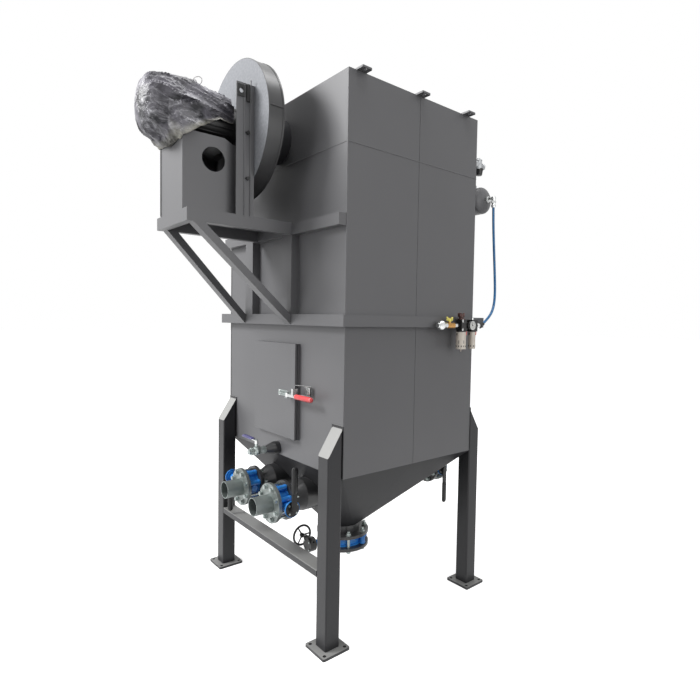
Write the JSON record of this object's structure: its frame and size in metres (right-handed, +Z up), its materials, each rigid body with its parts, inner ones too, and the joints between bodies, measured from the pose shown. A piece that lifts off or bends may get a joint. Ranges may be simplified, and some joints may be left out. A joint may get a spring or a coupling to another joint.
{
  "type": "cartridge dust collector",
  "caption": "Free-standing cartridge dust collector: a tall grey housing on legs over a hopper, with a front fan platform, pan door, flanged inlets, an air tank and an air service unit.",
  "frame": {"origin": "on the floor, at the plan centre of the four foot plates' outer anchor holes, which is the plan centre of the housing", "axes": "+Z up from the floor; -Y is the front with the fan platform, the pan door and the dust inlets; +X is the side with the air service unit; +Y is the back with the pulse air tank"},
  "size_m": [1.432, 2.0586, 3.065],
  "materials": {
    "frame_paint": "semi-gloss dark grey paint",
    "body_paint": "semi-gloss dark grey paint",
    "valve_blue": "gloss blue paint",
    "galvanised": "dull zinc",
    "stainless": "satin",
    "chrome_wire": "bright",
    "valve_silver": "cast, satin",
    "fan_zinc": "satin zinc sheet",
    "brass_fitting": "satin",
    "black_plastic": "matt black",
    "cartridge_media": "pleated, matt",
    "gasket_rubber": "matt",
    "red_grip": "dipped red grip",
    "yellow_handle": "yellow",
    "bowl_clear": "milky bowl",
    "hose_blue": "blue hose",
    "sleeve_violet": "dipped blue-violet sleeve",
    "wrap_film": "grey translucent film"
  },
  "bodies": {
    "housing": {"legs": "frame_paint", "foot_plates": "frame_paint", "leg_pads": "frame_paint", "front_rail": "frame_paint", "hopper": "body_paint", "outlet_collar": "galvanised", "outlet_flange": "galvanised", "outlet_valve_body": "valve_blue", "outlet_gearbox": "black_plastic", "nozzle_ducts": "body_paint", "valve_bodies": "valve_blue", "nozzle_stubs": "galvanised", "front_wall": "body_paint", "back_wall": "body_paint", "left_wall": "body_paint", "right_wall": "body_paint", "plenum_end_walls": "body_paint", "plenum_side_walls": "body_paint", "roof": "body_paint", "roof_lugs": "body_paint", "tube_sheet": "galvanised", "cartridges": "cartridge_media", "belt": "frame_paint", "ledger": "frame_paint", "bracket_posts": "frame_paint", "platform_frame": "frame_paint", "platform_deck": "frame_paint", "braces": "frame_paint", "door_frame": "body_paint", "hinge_lugs": "frame_paint", "latch_keeper": "chrome_wire", "motor_pedestal": "body_paint", "wrapped_motor": "wrap_film", "fan_plate": "fan_zinc", "fan_casing": "body_paint", "fan_duct": "body_paint", "fan_uprights": "frame_paint", "header_tank": "body_paint", "pulse_valves": "valve_silver", "air_unit": "black_plastic", "air_bowls": "bowl_clear", "air_coupler": "stainless", "shutoff_valve": "brass_fitting", "hose_elbow": "stainless", "air_hose": "hose_blue", "purge_pipe": "body_paint", "purge_valve": "stainless"},
    "door": {"door": "body_paint", "door_gasket": "gasket_rubber", "hinge_leaves": "frame_paint", "latch_base": "chrome_wire"},
    "latch_handle": {"latch_handle": "red_grip"},
    "latch_loop": {"latch_loop": "chrome_wire"},
    "inlet_lever_right": {"near_valve_lever": "black_plastic"},
    "inlet_lever_left": {"far_valve_lever": "black_plastic"},
    "back_lever": {"back_valve_lever": "black_plastic"},
    "outlet_wheel": {"outlet_handwheel": "black_plastic"},
    "outlet_disc": {"outlet_disc": "stainless"},
    "purge_lever": {"purge_lever": "sleeve_violet"},
    "shutoff_handle": {"shutoff_handle": "yellow_handle"}
  },
  "joints": [
    {"name": "door_swing", "type": "hinge", "parent": "housing", "child": "door", "pos_m": [-0.239, -0.51, 1.265], "axis": [0, 0, -1], "range_deg": [0, 110]},
    {"name": "latch_handle_turn", "type": "hinge", "parent": "door", "child": "latch_handle", "pos_m": [0.196, -0.56, 1.25], "axis": [0, 0, -1], "range_deg": [0, 90]},
    {"name": "latch_loop_turn", "type": "hinge", "parent": "latch_handle", "child": "latch_loop", "pos_m": [0.258, -0.546, 1.283], "axis": [0, 0, -1], "range_deg": [-90, 0]},
    {"name": "inlet_lever_right_turn", "type": "hinge", "parent": "housing", "child": "inlet_lever_right", "pos_m": [0.175, -0.601, 0.652], "axis": [1, 0, 0], "range_deg": [0, 90]},
    {"name": "inlet_lever_left_turn", "type": "hinge", "parent": "housing", "child": "inlet_lever_left", "pos_m": [-0.175, -0.601, 0.652], "axis": [-1, 0, 0], "range_deg": [0, 90]},
    {"name": "back_lever_turn", "type": "hinge", "parent": "housing", "child": "back_lever", "pos_m": [0.18, 0.645, 0.65], "axis": [1, 0, 0], "range_deg": [0, 90]},
    {"name": "outlet_wheel_turn", "type": "hinge", "parent": "housing", "child": "outlet_wheel", "pos_m": [0, -0.2583, 0.279], "axis": [-1, 0, 0], "range_deg": [0, 3240]},
    {"name": "outlet_disc_turn", "type": "hinge", "parent": "housing", "child": "outlet_disc", "pos_m": [0, 0, 0.251], "axis": [0, -1, 0], "range_deg": [0, 90]},
    {"name": "purge_lever_turn", "type": "hinge", "parent": "housing", "child": "purge_lever", "pos_m": [0, -0.642, 0.965], "axis": [0, 0, 1], "range_deg": [0, 90]},
    {"name": "shutoff_turn", "type": "hinge", "parent": "housing", "child": "shutoff_handle", "pos_m": [0.72, 0.187, 1.68], "axis": [0, 0, 1], "range_deg": [0, 90]}
  ],
  "couplings": [
    {"joint": "latch_loop_turn", "follows": "latch_handle_turn", "ratio": -1},
    {"joint": "outlet_disc_turn", "follows": "outlet_wheel_turn", "ratio": 0.027778}
  ]
}
